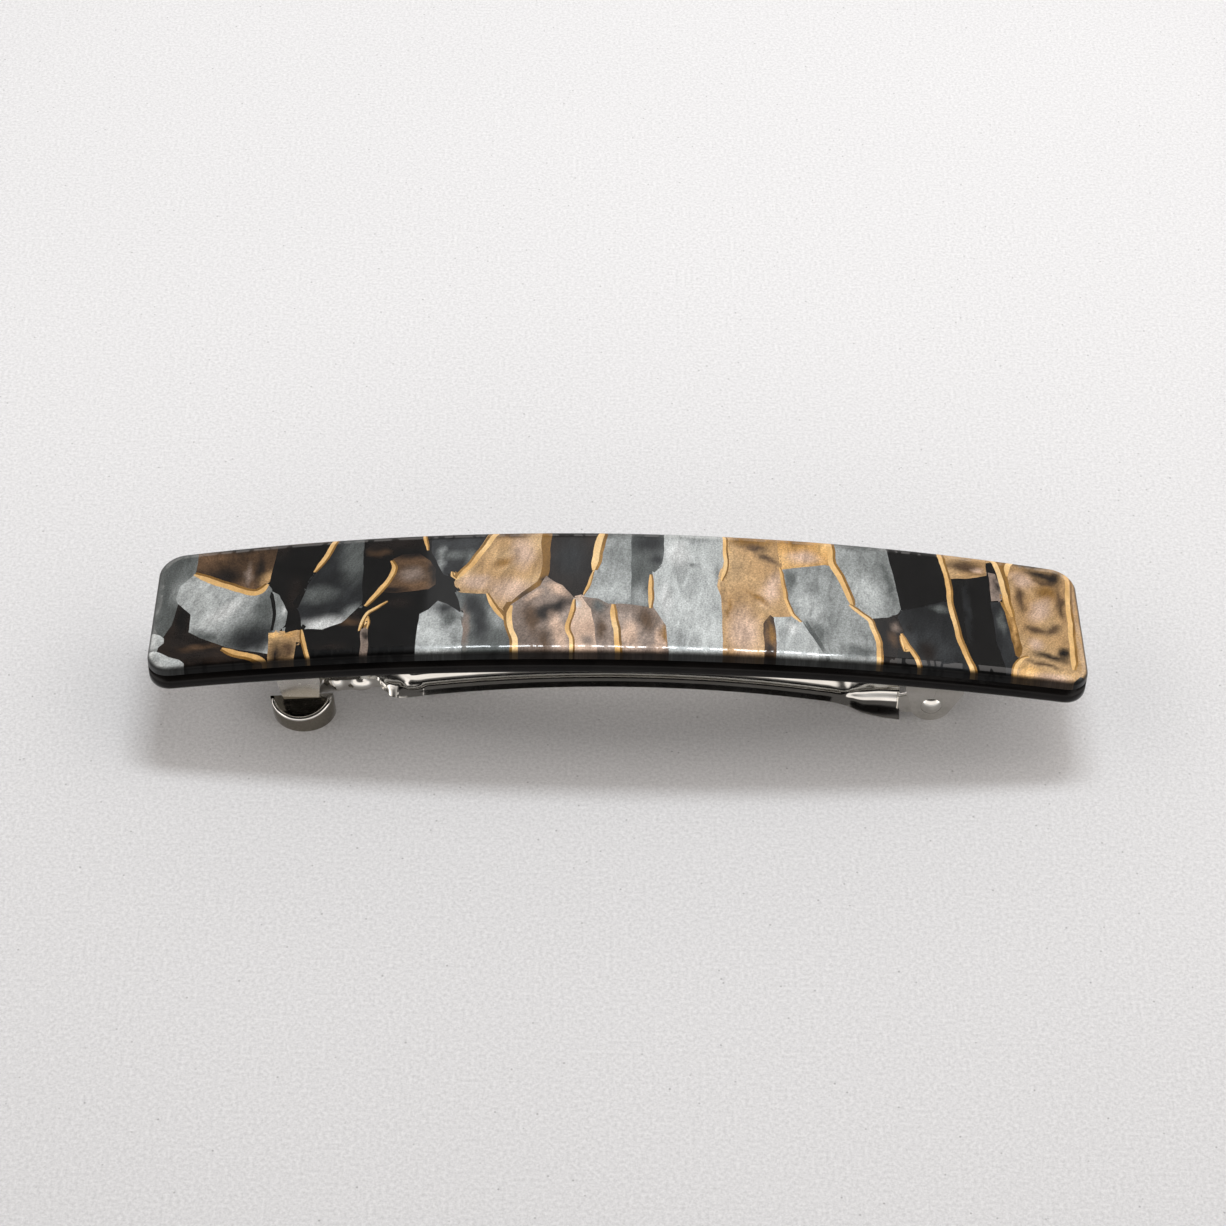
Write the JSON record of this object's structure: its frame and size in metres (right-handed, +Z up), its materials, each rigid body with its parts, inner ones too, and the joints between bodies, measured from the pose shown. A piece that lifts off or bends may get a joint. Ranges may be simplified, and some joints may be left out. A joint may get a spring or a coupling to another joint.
{
  "type": "barrette",
  "caption": "Arched laminated barrette on a sprung metal hair clip: hinged clasp arm, squeeze latch with finger tabs and a bowed tension bar under the plate.",
  "frame": {"origin": "on the table under the middle of the barrette, at the centre of the bottom of its box", "axes": "+X along the plate from the latch to the hinge, +Z up through the plate's patterned face, so -Y is the long side the latch's front tab points to"},
  "size_m": [0.102, 0.019, 0.0152],
  "materials": {
    "pearl_acetate": "polished clear-coated mosaic of pearl grey, bronze and black chips with gold seams",
    "black_acetate": "polished black",
    "nickel_sheet": "bright nickel plate",
    "nickel_pin": "bright nickel plate",
    "spring_steel": "fine brushed spring steel"
  },
  "bodies": {
    "base": {"pattern_sheet": "pearl_acetate", "backing_sheet": "black_acetate", "base_plate": "nickel_sheet", "hinge_pin": "nickel_pin", "mounting_pins": "nickel_pin"},
    "arm": {"clasp_arm": "nickel_sheet"},
    "front_leaf": {"latch_leaf_front": "nickel_sheet"},
    "back_leaf": {"latch_leaf_back": "nickel_sheet"},
    "bar": {"tension_bar": "spring_steel"}
  },
  "joints": [
    {"name": "arm_open", "type": "hinge", "parent": "base", "child": "arm", "pos_m": [0.0348, 0, 0.00225], "axis": [0, -1, 0], "range_deg": [0, 100]},
    {"name": "front_tab_squeeze", "type": "hinge", "parent": "base", "child": "front_leaf", "pos_m": [-0.03535, -0.00445, 0.00871], "axis": [0.9962, 0, 0.0872], "range_deg": [0, 6], "stiffness_Nm_per_rad": 0.02},
    {"name": "back_tab_squeeze", "type": "hinge", "parent": "base", "child": "back_leaf", "pos_m": [-0.03535, 0.00445, 0.00871], "axis": [-0.9962, 0, -0.0872], "range_deg": [0, 6], "stiffness_Nm_per_rad": 0.02},
    {"name": "tension_bar_flex", "type": "hinge", "parent": "base", "child": "bar", "pos_m": [0.027, 0, 0.0091], "axis": [0, 1, 0], "range_deg": [0, 1.4], "stiffness_Nm_per_rad": 0.05}
  ]
}
